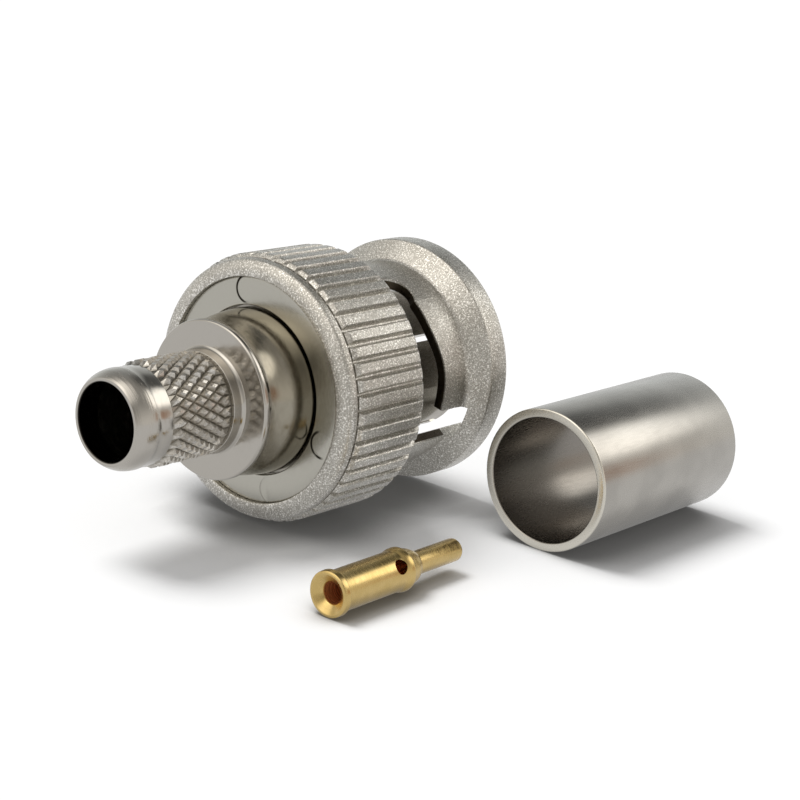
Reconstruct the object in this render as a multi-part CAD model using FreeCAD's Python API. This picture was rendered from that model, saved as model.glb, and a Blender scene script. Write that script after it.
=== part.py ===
import FreeCAD, Part
import math
import os

# Coaxial bayonet plug for crimping onto a cable, as supplied: the plug with its
# coupling nut, and beside it the loose crimp ferrule and centre contact.
# Millimetres. +X is the mating direction along the plug's axis, +Z is up.
# The origin is the centre of the coupling nut's front face, on the plug's axis.

V = FreeCAD.Vector
AXIS_START = V(0, 0, 0)
AXIS = V(1, 0, 0)

# How far a cutting tool runs past the face that it leaves by
OVERCUT = 0.1

# Where the middle of a rounded corner's arc stands, as a share of the rounding
ROUND_MIDDLE = 0.3

# Coupling nut, outside
NUT_LENGTH = 13.8
CREST_R = 7.4
ROOT_R = 7.1
TOOTH_COUNT = 52
GROOVE_FLOOR_WIDTH = 0.28
GROOVE_MOUTH_WIDTH = 0.48
KNURL_FRONT = -7.7
KNURL_LENGTH = 5.3
KNURL_BEVEL = 0.36
END_LINE_WIDTH = 0.14
END_LINE_DEPTH = 0.12
END_RING_EDGE_R = 6.6
END_RING_ROUND = 0.35
END_RING_LIP = 0.08
FLANGE_R = 7.05
FLANGE_WIDTH = 1.5
FLANGE_EDGE = 0.2
FLANGE_CONE_LENGTH = 0.75
NECK_R = 5.85
NECK_COVE = 0.12

# Coupling nut, inside
MOUTH_BORE_R = 5.25
MOUTH_CHAMFER = 0.35
CAVITY_R = 6.2
CAVITY_FRONT = -9.6

# Bayonet slots: a stud goes in along the entry, then round the ramp to the lock.
# Angles are measured about +X from straight up, towards -Y.
STUD_R = 1.0
STUD_CLEARANCE = 0.1
SLOT_COUNT = 2
LOCK_ANGLE = 30.0
LOCK_R = 1.3
LOCK_FRONT = -4.38
RAMP_WIDTH = 2.3
RAMP_FRONT_AT_LOCK = -4.65
RAMP_FRONT_AT_ENTRY = -4.12
RAMP_RISE_FROM_ANGLE = 50.0
RAMP_RISE_TO_ANGLE = 88.0
RAMP_STEPS = 14
ENTRY_ANGLE = 115.0
ENTRY_GROOVE_R = 6.15
SLOT_INNER_R = 4.8

# Closing washer, staked in the back of the nut
WASHER_RECESS = 0.25
WASHER_THICKNESS = 0.6
WASHER_HOLE_GAP = 0.3
MARK_ANGLES = (-9.0, 109.0, 162.0, 231.0)
MARK_R = 0.75
MARK_FROM_AXIS = 5.5
MARK_DEPTH = 0.05
WASHER_EDGE = 0.1

# Thrust washer and wave spring washer in the nut's cavity
RING_GAP = 0.05
THRUST_THICKNESS = 0.4
THRUST_HOLE_GAP = 0.12
RING_OUTER_GAP = 0.15
WAVE_THICKNESS = 0.3
WAVE_COUNT = 3
WAVE_STEPS = 8
WAVE_HOLE_GAP = 0.3

# Plug body
OVERALL_LENGTH = 24.0
BODY_FLANGE_R = 6.0
BODY_FLANGE_WIDTH = 1.0
BARREL_R = 4.35
HEAD_REAR = -17.0
HEAD_STEP = 0.06
HEAD_BEVEL = 0.1
HEAD_RIM_WIDTH = 0.4
BARREL_COVE_WIDTH = 1.5
BARREL_COVE_DEPTH = 0.04
BARREL_SWELL = 0.15
BARREL_SWELL_AT = 2.0
BARREL_SWELL_WIDTH = 1.2
STEM_BORE_R = 2.05
STEM_MOUTH_R = 2.3
STEM_LIP_R = 2.7
STEM_LIP_LENGTH = 1.4
STEM_LIP_FULLNESS = 0.45
STEM_WAIST_LENGTH = 0.8
STEM_WAIST_R = 2.56
STEM_KNURL_R = 2.78
STEM_ROOT_GROOVE = 0.1
STEM_ROOT_FILLET = 0.3
STEM_FILLET_FULLNESS = 0.7
STEM_EDGE = 0.08
SMALL_EDGE = 0.05

# Outer contact: a slotted sleeve seated in the body
SLEEVE_R = 4.05
SLEEVE_BORE_R = 3.5
SLEEVE_SEAT = 1.25
SLEEVE_SHOULDER = 0.02
SLEEVE_RECESS = 0.05
SLEEVE_BEAD = 0.12
SLEEVE_BEAD_LENGTH = 0.6
SLIT_COUNT = 4
SLIT_WIDTH = 0.4
SLIT_LENGTH = 6.5
SLIT_ANGLE = 56.0
SLIT_INNER_R = 3.0
SLIT_OUTER_R = 4.6

# Insulator
INSULATOR_REAR = -12.4
INSULATOR_FRONT = -3.5
INSULATOR_GAP = 0.03
INSULATOR_SOCKET_R = 2.42
INSULATOR_WEB_FRONT = -5.6
INSULATOR_WEB = 0.8
INSULATOR_EDGE = 0.15
PIN_HOLE_GAP = 0.06
CONTACT_BORE_GAP = 0.05

# Gasket in front of the body's flange
GASKET_THICKNESS = 0.9
GASKET_INNER_GAP = 0.05
GASKET_OUTER_GAP = 0.15

# Centre contact, loose
CONTACT_LENGTH = 10.0
CONTACT_COLLAR_R = 1.2
CONTACT_COLLAR_LENGTH = 0.4
CONTACT_BARREL_R = 1.06
CONTACT_BEAD_R = 1.17
CONTACT_BEAD_AT = 4.8
CONTACT_BEAD_LENGTH = 0.6
CONTACT_SHOULDER_LENGTH = 1.1
CONTACT_SHOULDER_FULLNESS = 0.14
CONTACT_PIN_R = 0.62
CONTACT_TIP_ROUND = 0.35
CONTACT_EDGE = 0.1
WIRE_BORE_R = 0.55
WIRE_BORE_DEPTH = 5.0
WIRE_BORE_POINT = 0.25
WIRE_FUNNEL_R = 1.0
WIRE_FUNNEL_DEPTH = 0.13
SIGHT_HOLE_R = 0.4
SIGHT_HOLE_AT = 4.5
SIGHT_HOLE_ANGLE = 55.0
CONTACT_END_ALONG = -20.52
CONTACT_END_ASIDE = -12.37
CONTACT_HEADING = 0.64

# Crimp ferrule, loose
FERRULE_LENGTH = 13.4
FERRULE_R = 3.95
FERRULE_BORE_R = 3.45
FERRULE_EDGE = 0.12
FERRULE_END_ALONG = -4.33
FERRULE_END_ASIDE = -13.19
FERRULE_HEADING = -0.53

# Places that follow from the sizes
FLOOR_Z = -CREST_R
NUT_REAR = -NUT_LENGTH
KNURL_REAR = KNURL_FRONT - KNURL_LENGTH
BODY_FLANGE_FRONT = CAVITY_FRONT - RING_GAP
BODY_FLANGE_REAR = BODY_FLANGE_FRONT - BODY_FLANGE_WIDTH
WASHER_REAR = NUT_REAR + WASHER_RECESS
WASHER_FRONT = WASHER_REAR + WASHER_THICKNESS
THRUST_REAR = WASHER_FRONT + RING_GAP
THRUST_FRONT = THRUST_REAR + THRUST_THICKNESS
RING_R = CAVITY_R - RING_OUTER_GAP
SLEEVE_REAR = BODY_FLANGE_FRONT - SLEEVE_SEAT
SLEEVE_FRONT = -SLEEVE_RECESS
STEM_REAR = -OVERALL_LENGTH
HEAD_R = BARREL_R - HEAD_STEP
WASHER_HOLE_R = BARREL_R + WASHER_HOLE_GAP


def turned(points):
    """A solid of revolution about the plug's axis.

    Each point is (along, radius). A point given as (along, radius, "arc") is
    the middle of an arc from the point before it to the point after it."""
    places = [V(p[0], 0, p[1]) for p in points]
    edges = []
    count = len(points)
    i = 0
    while i < count:
        here = places[i]
        after = (i + 1) % count
        if len(points[after]) == 3:
            end = (i + 2) % count
            edges.append(Part.Arc(here, places[after], places[end]).toShape())
            i += 2
        else:
            edges.append(Part.LineSegment(here, places[after]).toShape())
            i += 1
    face = Part.Face(Part.Wire(edges))
    return face.revolve(AXIS_START, AXIS, 360)


def round_about_axis(shape, angle):
    """A copy turned about +X, so that what points up comes to the given angle."""
    copy = shape.copy()
    copy.rotate(AXIS_START, AXIS, angle)
    return copy


def radial_post(radius, along, angle, inner, outer):
    """A round post that stands out from the axis."""
    post = Part.makeCylinder(radius, outer - inner, V(along, 0, inner), V(0, 0, 1))
    return round_about_axis(post, angle)


def radial_bar(rear, front, width, inner, outer, angle):
    """A straight bar along the axis, at a distance from it."""
    bar = Part.makeBox(front - rear, width, outer - inner, V(rear, -width / 2, inner))
    return round_about_axis(bar, angle)


def laid(shape, along, aside, heading, height):
    """A turned piece moved from the axis to the floor, with its rear end at a place."""
    copy = shape.copy()
    copy.rotate(AXIS_START, V(0, 0, 1), heading)
    copy.translate(V(along, aside, height))
    return copy


def nut_blank():
    """The nut turned all round, before its teeth and slots are cut."""
    line_rear = KNURL_REAR - END_LINE_WIDTH
    cone_foot = -FLANGE_WIDTH - FLANGE_CONE_LENGTH
    bevel_foot_r = CREST_R - KNURL_BEVEL
    ring_corner = (NUT_REAR + line_rear) / 2
    half_round = 0.5 * END_RING_ROUND
    edge_middle = ROUND_MIDDLE * FLANGE_EDGE
    return turned([
        (NUT_REAR + END_RING_LIP, CAVITY_R),
        (NUT_REAR, END_RING_EDGE_R),
        (NUT_REAR + half_round, END_RING_EDGE_R + END_RING_ROUND, "arc"),
        (ring_corner, ROOT_R),
        (line_rear, ROOT_R),
        (line_rear + END_LINE_WIDTH / 2, ROOT_R - END_LINE_DEPTH),
        (KNURL_REAR, bevel_foot_r),
        (KNURL_REAR + KNURL_BEVEL, CREST_R),
        (KNURL_FRONT - KNURL_BEVEL, CREST_R),
        (KNURL_FRONT, bevel_foot_r),
        (KNURL_FRONT, NECK_R),
        (cone_foot - NECK_COVE, NECK_R),
        (cone_foot + NECK_COVE / 2, NECK_R + NECK_COVE),
        (-FLANGE_WIDTH, FLANGE_R),
        (-FLANGE_EDGE, FLANGE_R),
        (-edge_middle, FLANGE_R - edge_middle, "arc"),
        (0, FLANGE_R - FLANGE_EDGE),
        (0, MOUTH_BORE_R + MOUTH_CHAMFER),
        (-MOUTH_CHAMFER, MOUTH_BORE_R),
        (CAVITY_FRONT, MOUTH_BORE_R),
        (CAVITY_FRONT, CAVITY_R),
    ])


def tooth_grooves():
    """The straight grooves between the teeth of the grip."""
    rear = KNURL_REAR - END_LINE_WIDTH / 2
    front = KNURL_FRONT + OVERCUT
    mouth_r = CREST_R + OVERCUT
    half_floor = GROOVE_FLOOR_WIDTH / 2
    half_mouth = GROOVE_MOUTH_WIDTH / 2
    corners = [
        V(rear, -half_floor, ROOT_R),
        V(rear, half_floor, ROOT_R),
        V(rear, half_mouth, mouth_r),
        V(rear, -half_mouth, mouth_r),
    ]
    section = Part.Face(Part.makePolygon(corners + corners[:1]))
    groove = section.extrude(V(front - rear, 0, 0))
    pitch = 360.0 / TOOTH_COUNT
    return [round_about_axis(groove, (i + 0.5) * pitch) for i in range(TOOTH_COUNT)]


def ramp_section(angle, rear, front):
    """A radial rectangle through the nut's wall at one angle of the ramp."""
    inner = SLOT_INNER_R
    outer = ENTRY_GROOVE_R
    corners = [V(rear, 0, inner), V(front, 0, inner), V(front, 0, outer), V(rear, 0, outer)]
    wire = Part.makePolygon(corners + corners[:1])
    wire.rotate(AXIS_START, AXIS, angle)
    return wire


def ramp_front(angle):
    """Where the ramp's front wall stands: it rises smoothly towards the lock."""
    share = (angle - RAMP_RISE_FROM_ANGLE) / (RAMP_RISE_TO_ANGLE - RAMP_RISE_FROM_ANGLE)
    share = min(max(share, 0), 1)
    eased = (1 - math.cos(math.pi * share)) / 2
    return RAMP_FRONT_AT_LOCK + eased * (RAMP_FRONT_AT_ENTRY - RAMP_FRONT_AT_LOCK)


def bayonet_slot():
    """One stud's way through the nut's wall: entry, ramp and round lock."""
    entry_width = 2 * (STUD_R + STUD_CLEARANCE)
    sections = []
    for i in range(RAMP_STEPS + 1):
        angle = LOCK_ANGLE + (ENTRY_ANGLE - LOCK_ANGLE) * i / RAMP_STEPS
        front = ramp_front(angle)
        sections.append(ramp_section(angle, front - RAMP_WIDTH, front))
    ramp = Part.makeLoft(sections, True, True)
    lock = radial_post(LOCK_R, LOCK_FRONT - LOCK_R, LOCK_ANGLE, SLOT_INNER_R, ENTRY_GROOVE_R)
    turn_centre = RAMP_FRONT_AT_ENTRY - RAMP_WIDTH + entry_width / 2
    turn = radial_post(entry_width / 2, turn_centre, ENTRY_ANGLE, SLOT_INNER_R, ENTRY_GROOVE_R)
    entry = radial_bar(
        turn_centre, OVERCUT, entry_width, SLOT_INNER_R, ENTRY_GROOVE_R, ENTRY_ANGLE)
    return ramp.fuse([lock, turn, entry])


def coupling_nut():
    """The nut that grips the socket's two studs."""
    nut = nut_blank().cut(tooth_grooves())
    slot = bayonet_slot()
    slots = [round_about_axis(slot, i * 360.0 / SLOT_COUNT) for i in range(SLOT_COUNT)]
    return nut.cut(slots)


def closing_washer():
    """The flat ring that closes the back of the nut, with its staking marks."""
    washer = turned([
        (WASHER_REAR, WASHER_HOLE_R),
        (WASHER_REAR, CAVITY_R - WASHER_EDGE),
        (WASHER_REAR + WASHER_EDGE, CAVITY_R),
        (WASHER_FRONT, CAVITY_R),
        (WASHER_FRONT, WASHER_HOLE_R),
    ])
    mark_floor = V(WASHER_REAR + MARK_DEPTH, 0, MARK_FROM_AXIS)
    mark = Part.makeCylinder(MARK_R, MARK_DEPTH + OVERCUT, mark_floor, V(-1, 0, 0))
    return washer.cut([round_about_axis(mark, angle) for angle in MARK_ANGLES])


def thrust_washer():
    """The flat ring between the spring washer and the closing washer."""
    hole_r = BARREL_R + THRUST_HOLE_GAP
    return turned([
        (THRUST_REAR, hole_r),
        (THRUST_REAR, RING_R),
        (THRUST_FRONT, RING_R),
        (THRUST_FRONT, hole_r),
    ])


def wave_washer():
    """The wavy spring ring that draws the nut back."""
    inner = BARREL_R + WAVE_HOLE_GAP
    height = BODY_FLANGE_REAR - THRUST_FRONT - WAVE_THICKNESS
    steps = WAVE_STEPS * WAVE_COUNT
    sections = []
    for i in range(steps + 1):
        turn = 360.0 * i / steps
        lift = height / 2 * (1 + math.cos(math.radians(turn * WAVE_COUNT)))
        rear = THRUST_FRONT + lift
        corners = [
            V(rear, 0, inner),
            V(rear, 0, RING_R),
            V(rear + WAVE_THICKNESS, 0, RING_R),
            V(rear + WAVE_THICKNESS, 0, inner),
        ]
        wire = Part.makePolygon(corners + corners[:1])
        wire.rotate(AXIS_START, AXIS, turn)
        sections.append(wire)
    half = steps // 2
    first = Part.makeLoft(sections[:half + 1], True, True)
    second = Part.makeLoft(sections[half:], True, True)
    return first.fuse(second)


def plug_body():
    """The turned body: flange, barrel, head and crimp stem, bored right through."""
    lip_end = STEM_REAR + STEM_LIP_LENGTH
    waist_end = lip_end + STEM_WAIST_LENGTH
    fillet_foot = HEAD_REAR - STEM_ROOT_FILLET
    groove_r = STEM_KNURL_R - STEM_ROOT_GROOVE
    fillet_middle_r = groove_r + (1 - STEM_FILLET_FULLNESS) * STEM_ROOT_FILLET
    rim_end = HEAD_REAR + HEAD_RIM_WIDTH
    swell_at = rim_end + BARREL_SWELL_AT
    seat_bore_r = SLEEVE_BORE_R - SLEEVE_SHOULDER
    return turned([
        (STEM_REAR, STEM_BORE_R + STEM_EDGE),
        (STEM_REAR, STEM_MOUTH_R - STEM_EDGE),
        (STEM_REAR + STEM_EDGE, STEM_MOUTH_R),
        (STEM_REAR + STEM_LIP_LENGTH * STEM_LIP_FULLNESS, STEM_LIP_R - 2 * SMALL_EDGE, "arc"),
        (lip_end, STEM_LIP_R),
        (lip_end + SMALL_EDGE, STEM_LIP_R - SMALL_EDGE),
        ((lip_end + waist_end) / 2, STEM_WAIST_R, "arc"),
        (waist_end, STEM_KNURL_R - SMALL_EDGE),
        (waist_end + SMALL_EDGE, STEM_KNURL_R),
        (fillet_foot - SMALL_EDGE, STEM_KNURL_R),
        (fillet_foot, groove_r),
        (fillet_foot + STEM_FILLET_FULLNESS * STEM_ROOT_FILLET, fillet_middle_r, "arc"),
        (HEAD_REAR, groove_r + STEM_ROOT_FILLET),
        (HEAD_REAR, HEAD_R - HEAD_BEVEL),
        (HEAD_REAR + HEAD_BEVEL, HEAD_R),
        (rim_end, HEAD_R),
        (rim_end + SMALL_EDGE, HEAD_R - SMALL_EDGE),
        (rim_end + BARREL_COVE_WIDTH / 2, HEAD_R - BARREL_COVE_DEPTH, "arc"),
        (rim_end + BARREL_COVE_WIDTH, HEAD_R + BARREL_SWELL),
        (swell_at, BARREL_R + BARREL_SWELL, "arc"),
        (swell_at + BARREL_SWELL_WIDTH / 2, BARREL_R),
        (BODY_FLANGE_REAR, BARREL_R),
        (BODY_FLANGE_REAR, BODY_FLANGE_R),
        (BODY_FLANGE_FRONT, BODY_FLANGE_R),
        (BODY_FLANGE_FRONT, SLEEVE_R),
        (SLEEVE_REAR, SLEEVE_R),
        (SLEEVE_REAR, seat_bore_r),
        (INSULATOR_REAR, seat_bore_r),
        (INSULATOR_REAR, STEM_BORE_R),
        (STEM_REAR + STEM_EDGE, STEM_BORE_R),
    ])


def outer_contact():
    """The spring-fingered sleeve that the socket's shell goes over."""
    bead_rear = SLEEVE_FRONT - SLEEVE_BEAD_LENGTH
    bead_middle = SLEEVE_FRONT - SLEEVE_BEAD_LENGTH / 2
    sleeve = turned([
        (SLEEVE_REAR, SLEEVE_BORE_R),
        (SLEEVE_REAR, SLEEVE_R),
        (bead_rear, SLEEVE_R),
        (bead_middle, SLEEVE_R + SLEEVE_BEAD, "arc"),
        (SLEEVE_FRONT, SLEEVE_R - SMALL_EDGE),
        (SLEEVE_FRONT, SLEEVE_BORE_R + 2 * SMALL_EDGE),
        (SLEEVE_FRONT - 2 * SMALL_EDGE, SLEEVE_BORE_R),
    ])
    rear = SLEEVE_FRONT - SLIT_LENGTH
    front = SLEEVE_FRONT + OVERCUT
    slit = radial_bar(rear, front, SLIT_WIDTH, SLIT_INNER_R, SLIT_OUTER_R, SLIT_ANGLE)
    pitch = 360.0 / SLIT_COUNT
    return sleeve.cut([round_about_axis(slit, i * pitch) for i in range(SLIT_COUNT)])


def insulator():
    """The white bush that holds the centre contact in the middle of the plug."""
    outer = SLEEVE_BORE_R - SLEEVE_SHOULDER - INSULATOR_GAP
    web_rear = INSULATOR_WEB_FRONT - INSULATOR_WEB
    pin_hole = CONTACT_PIN_R + PIN_HOLE_GAP
    contact_bore = CONTACT_COLLAR_R + CONTACT_BORE_GAP
    return turned([
        (INSULATOR_REAR, contact_bore),
        (INSULATOR_REAR, outer),
        (INSULATOR_FRONT - INSULATOR_EDGE, outer),
        (INSULATOR_FRONT, outer - INSULATOR_EDGE),
        (INSULATOR_FRONT, INSULATOR_SOCKET_R + INSULATOR_EDGE),
        (INSULATOR_FRONT - INSULATOR_EDGE, INSULATOR_SOCKET_R),
        (INSULATOR_WEB_FRONT, INSULATOR_SOCKET_R),
        (INSULATOR_WEB_FRONT, pin_hole),
        (web_rear, pin_hole),
        (web_rear, contact_bore),
    ])


def gasket():
    """The soft ring that the socket's rim presses on."""
    inner = SLEEVE_R + GASKET_INNER_GAP
    outer = MOUTH_BORE_R - GASKET_OUTER_GAP
    front = BODY_FLANGE_FRONT + GASKET_THICKNESS
    return turned([
        (BODY_FLANGE_FRONT, inner),
        (BODY_FLANGE_FRONT, outer),
        (front, outer),
        (front, inner),
    ])


def centre_contact():
    """The contact that is crimped onto the cable's wire, laid on the floor."""
    bead_front = CONTACT_BEAD_AT + CONTACT_BEAD_LENGTH
    shoulder_end = bead_front + CONTACT_SHOULDER_LENGTH
    tip = CONTACT_TIP_ROUND
    tip_middle = ROUND_MIDDLE * tip
    contact = turned([
        (0, WIRE_FUNNEL_R),
        (0, CONTACT_COLLAR_R - CONTACT_EDGE),
        (CONTACT_EDGE, CONTACT_COLLAR_R),
        (CONTACT_COLLAR_LENGTH, CONTACT_COLLAR_R),
        (CONTACT_COLLAR_LENGTH + SMALL_EDGE, CONTACT_BARREL_R),
        (CONTACT_BEAD_AT, CONTACT_BARREL_R),
        (CONTACT_BEAD_AT + CONTACT_BEAD_LENGTH / 2, CONTACT_BEAD_R - SMALL_EDGE / 2, "arc"),
        (bead_front, CONTACT_BEAD_R),
        (bead_front + SMALL_EDGE, CONTACT_BARREL_R),
        (shoulder_end - CONTACT_SHOULDER_LENGTH / 2,
         CONTACT_BARREL_R - CONTACT_SHOULDER_FULLNESS, "arc"),
        (shoulder_end, CONTACT_PIN_R),
        (CONTACT_LENGTH - tip, CONTACT_PIN_R),
        (CONTACT_LENGTH - tip_middle, CONTACT_PIN_R - tip_middle, "arc"),
        (CONTACT_LENGTH, CONTACT_PIN_R - tip),
        (CONTACT_LENGTH, 0),
        (WIRE_BORE_DEPTH + WIRE_BORE_POINT, 0),
        (WIRE_BORE_DEPTH, WIRE_BORE_R),
        (WIRE_FUNNEL_DEPTH, WIRE_BORE_R),
    ])
    hole_outer_r = CONTACT_COLLAR_R + OVERCUT
    hole = radial_post(SIGHT_HOLE_R, SIGHT_HOLE_AT, SIGHT_HOLE_ANGLE, 0, hole_outer_r)
    contact = contact.cut(hole)
    height = FLOOR_Z + CONTACT_COLLAR_R
    return laid(contact, CONTACT_END_ALONG, CONTACT_END_ASIDE, CONTACT_HEADING, height)


def crimp_ferrule():
    """The plain tube that is crimped over the cable and stem, laid on the floor."""
    middle = ROUND_MIDDLE * FERRULE_EDGE
    ferrule = turned([
        (0, FERRULE_BORE_R + FERRULE_EDGE),
        (0, FERRULE_R - FERRULE_EDGE),
        (middle, FERRULE_R - middle, "arc"),
        (FERRULE_EDGE, FERRULE_R),
        (FERRULE_LENGTH - FERRULE_EDGE, FERRULE_R),
        (FERRULE_LENGTH - middle, FERRULE_R - middle, "arc"),
        (FERRULE_LENGTH, FERRULE_R - FERRULE_EDGE),
        (FERRULE_LENGTH, FERRULE_BORE_R + FERRULE_EDGE),
        (FERRULE_LENGTH - FERRULE_EDGE, FERRULE_BORE_R),
        (FERRULE_EDGE, FERRULE_BORE_R),
    ])
    height = FLOOR_Z + FERRULE_R
    return laid(ferrule, FERRULE_END_ALONG, FERRULE_END_ASIDE, FERRULE_HEADING, height)


PIECES = {
    "coupling_nut": coupling_nut,
    "closing_washer": closing_washer,
    "thrust_washer": thrust_washer,
    "wave_washer": wave_washer,
    "plug_body": plug_body,
    "outer_contact": outer_contact,
    "insulator": insulator,
    "gasket": gasket,
    "centre_contact": centre_contact,
    "crimp_ferrule": crimp_ferrule,
}

os.makedirs("parts", exist_ok=True)
for name, make in PIECES.items():
    shape = make()
    shape.Solids[0].exportStep("parts/" + name + ".step")
    print(name, len(shape.Solids), "solid", round(shape.Volume, 3), "mm3",
          len(shape.Faces), "faces", "valid" if shape.isValid() else "NOT VALID")
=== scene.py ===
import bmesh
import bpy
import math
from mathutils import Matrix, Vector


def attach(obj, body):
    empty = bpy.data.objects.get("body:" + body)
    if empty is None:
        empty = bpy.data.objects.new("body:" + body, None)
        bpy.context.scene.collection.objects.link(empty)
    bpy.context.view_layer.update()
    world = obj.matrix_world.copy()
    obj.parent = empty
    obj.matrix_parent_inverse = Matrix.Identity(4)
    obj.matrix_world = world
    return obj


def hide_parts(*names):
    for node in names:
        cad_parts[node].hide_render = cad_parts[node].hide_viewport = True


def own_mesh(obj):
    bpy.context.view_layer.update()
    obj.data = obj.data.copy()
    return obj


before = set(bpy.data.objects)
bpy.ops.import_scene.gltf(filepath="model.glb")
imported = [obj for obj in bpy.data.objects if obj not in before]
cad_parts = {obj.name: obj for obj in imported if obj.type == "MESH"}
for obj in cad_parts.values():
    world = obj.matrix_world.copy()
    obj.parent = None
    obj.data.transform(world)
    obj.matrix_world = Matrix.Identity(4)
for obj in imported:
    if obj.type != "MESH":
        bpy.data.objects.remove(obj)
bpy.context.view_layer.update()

# %% [markdown]
# A crimp connector for coaxial cable, as it comes out of its bag: the plug with its
# coupling nut, and beside it the loose crimp ferrule and the gold centre contact.
# Nearly every piece of it comes off a lathe, so nearly every piece here is a wire
# outline that is spun about the plug's axis, +X.

MM = 0.001

# %% [markdown]
# A lathe cuts a profile into a turning bar. Here the profile is a closed wire of a few
# corners in the XZ plane. A vertex bevel rounds the corners that the tool has rounded,
# and one full spin makes the solid. The finishing step points the normals outwards and
# marks only the real corners as sharp, so the round faces shade smoothly.

# %% Helpers: an outline, a spin and a finished piece
ROUND_STEPS = 4
TURN_STEPS = 208
SHARP_ANGLE = math.radians(32)
TOUCHING = 0.0005 * MM


def in_metres(place):
    """Millimetres, in which every size here is given, turned into metres."""
    return tuple(c * MM for c in place)


def outline(bm, corners):
    """A closed wire through (along, radius) or (along, radius, rounding) corners, in mm."""
    verts = [bm.verts.new((c[0] * MM, 0, c[1] * MM)) for c in corners]
    for start, end in zip(verts, verts[1:] + verts[:1]):
        bm.edges.new((start, end))
    for vert, corner in zip(verts, corners):
        if len(corner) == 3:
            bmesh.ops.bevel(
                bm, geom=[vert], offset=corner[2] * MM, offset_type="OFFSET",
                affect="VERTICES", segments=ROUND_STEPS, profile=0.5, material=-1)


def spun(corners, steps=TURN_STEPS):
    """A mesh in the making: the wire turned once about the X axis."""
    bm = bmesh.new()
    outline(bm, corners)
    bmesh.ops.spin(
        bm, geom=bm.verts[:] + bm.edges[:], cent=(0, 0, 0), axis=(1, 0, 0),
        dvec=(0, 0, 0), angle=math.tau, steps=steps, use_merge=True)
    bmesh.ops.remove_doubles(bm, verts=bm.verts[:], dist=TOUCHING)
    bmesh.ops.recalc_face_normals(bm, faces=bm.faces[:])
    return bm


def piece(name, bm):
    """An object at the origin from a mesh in the making, with its sharp edges marked."""
    for face in bm.faces:
        face.smooth = True
    for edge in bm.edges:
        edge.smooth = edge.is_manifold and edge.calc_face_angle(0) < SHARP_ANGLE
    mesh = bpy.data.meshes.new(name)
    bm.to_mesh(mesh)
    bm.free()
    made = bpy.data.objects.new(name, mesh)
    bpy.context.scene.collection.objects.link(made)
    print(name, len(mesh.polygons), "faces")
    return made


# %% [markdown]
# The coupling nut is turned, knurled and slotted. Its blank is one spin: the end ring,
# the fine line beside the grip, the grip's crests, the narrow neck, and the cone and
# flange at the mouth. Stacked cylinders could stand for it, but one outline lets every
# corner have its own rounding. The teeth and slots are cut afterwards, as on the real
# nut, where a straight knurling wheel and a milling cutter make them.

# %% The nut's blank
NUT_REAR = -13.8
CREST_R = 7.4
ROOT_R = 7.1
KNURL_FRONT = -7.7
KNURL_REAR = -13.0
KNURL_BEVEL = 0.3
REAR_BEVEL = 0.2
LINE_REAR = -13.07
LINE_R = 7.05
BEVEL_FOOT_R = CREST_R - KNURL_BEVEL
NECK_R = 5.85
FLANGE_R = 7.05
MOUTH_BORE_R = 5.25
CAVITY_R = 6.2
CAVITY_FRONT = -9.6

nut_blank = spun([
    (NUT_REAR + 0.03, CAVITY_R, 0.03),
    (NUT_REAR, 6.3, 0.06),
    (NUT_REAR + 0.02, 6.6, 0.1),
    (NUT_REAR + 0.12, 6.92, 0.18),
    (-13.5, 7.14, 0.1),
    (-13.1, 7.18, 0.03),
    (LINE_REAR, LINE_R),
    (KNURL_REAR, LINE_R),
    (KNURL_REAR, CREST_R - REAR_BEVEL, 0.03),
    (KNURL_REAR + REAR_BEVEL, CREST_R, 0.08),
    (KNURL_FRONT - KNURL_BEVEL, CREST_R, 0.1),
    (KNURL_FRONT, BEVEL_FOOT_R, 0.1),
    (KNURL_FRONT, NECK_R, 0.05),
    (-2.37, NECK_R, 0.05),
    (-2.19, NECK_R + 0.12, 0.05),
    (-1.5, FLANGE_R, 0.08),
    (0, FLANGE_R, 0.2),
    (0, 5.6, 0.08),
    (-0.35, MOUTH_BORE_R),
    (CAVITY_FRONT, MOUTH_BORE_R),
    (CAVITY_FRONT, CAVITY_R),
])
print("nut blank:", len(nut_blank.faces), "faces")

# %% [markdown]
# The grip has 52 straight teeth. A bump map could draw them, but their ends and the
# outline of the nut would stay smooth, so real grooves are cut. One groove is a
# trapezoid that flares at its mouth, which rounds the teeth's long edges as blasting
# does. It is extruded along the axis, turned by half a pitch, and a spin that
# duplicates lays the other 51 around.

# %% The cutter for the grooves
TOOTH_COUNT = 52
PITCH = math.tau / TOOTH_COUNT
GROOVE_REAR = LINE_REAR
GROOVE_FRONT = KNURL_FRONT + 0.1
GROOVE_SECTION = [
    (-0.04, ROOT_R), (0.04, ROOT_R), (0.1, 7.19), (0.15, 7.33), (0.19, 7.385), (0.28, 7.45),
    (-0.28, 7.45), (-0.19, 7.385), (-0.15, 7.33), (-0.1, 7.19),
]

grooves = bmesh.new()
section = grooves.faces.new(
    [grooves.verts.new((GROOVE_REAR * MM, y * MM, z * MM)) for y, z in GROOVE_SECTION])
swept = bmesh.ops.extrude_face_region(grooves, geom=[section], use_keep_orig=True)
bmesh.ops.translate(
    grooves, verts=[g for g in swept["geom"] if isinstance(g, bmesh.types.BMVert)],
    vec=((GROOVE_FRONT - GROOVE_REAR) * MM, 0, 0))
bmesh.ops.rotate(
    grooves, verts=grooves.verts[:], cent=(0, 0, 0), matrix=Matrix.Rotation(PITCH / 2, 3, "X"))
bmesh.ops.spin(
    grooves, geom=grooves.verts[:] + grooves.edges[:] + grooves.faces[:], cent=(0, 0, 0),
    axis=(1, 0, 0), dvec=(0, 0, 0), angle=math.tau - PITCH, steps=TOOTH_COUNT - 1,
    use_duplicate=True)
bmesh.ops.recalc_face_normals(grooves, faces=grooves.faces[:])
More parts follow.
